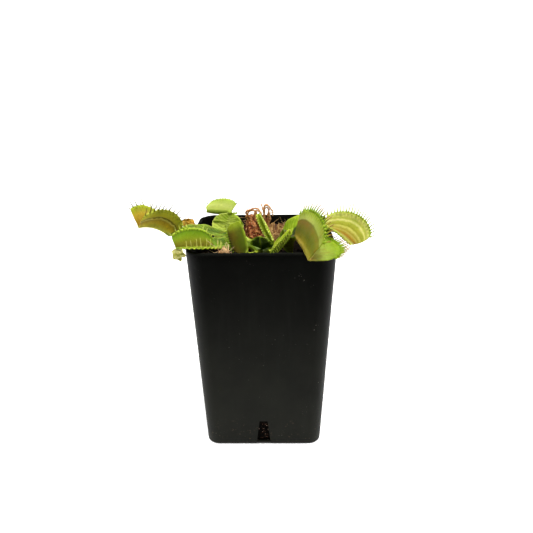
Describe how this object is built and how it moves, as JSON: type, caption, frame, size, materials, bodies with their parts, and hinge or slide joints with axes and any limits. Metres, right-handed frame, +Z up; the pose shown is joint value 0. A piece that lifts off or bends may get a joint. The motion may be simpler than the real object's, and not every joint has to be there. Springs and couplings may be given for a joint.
{
  "type": "potted venus flytrap",
  "caption": "Venus flytrap in a tall square nursery pot: winged leaf stalks rising from a crown in dark soil, each ending in a hinged two-lobed trap edged with long teeth, with tufts of moss.",
  "frame": {"origin": "middle of the pot's foot, on the surface that the pot stands on", "axes": "+Z up; -Y is the front, the side that the picture shows; +X is the picture's right"},
  "size_m": [0.1259, 0.0912, 0.1391],
  "materials": {
    "pot": "thin satin black plastic",
    "soil": null,
    "crown": null,
    "leaf": null,
    "moss": null,
    "straw": null
  },
  "bodies": {
    "root": {"pot": "pot", "soil": "soil", "crown": "crown", "leaf_far_left": "leaf", "leaf_front_left": "leaf", "leaf_back_left": "leaf", "leaf_small_left": "leaf", "leaf_centre": "leaf", "leaf_small_right": "leaf", "leaf_front_right": "leaf", "leaf_far_right": "leaf", "leaf_cupped": "leaf", "leaf_withered": "straw", "moss_tuft_back": "moss", "moss_tuft_right": "straw", "moss_tuft_front": "straw"}
  },
  "joints": []
}
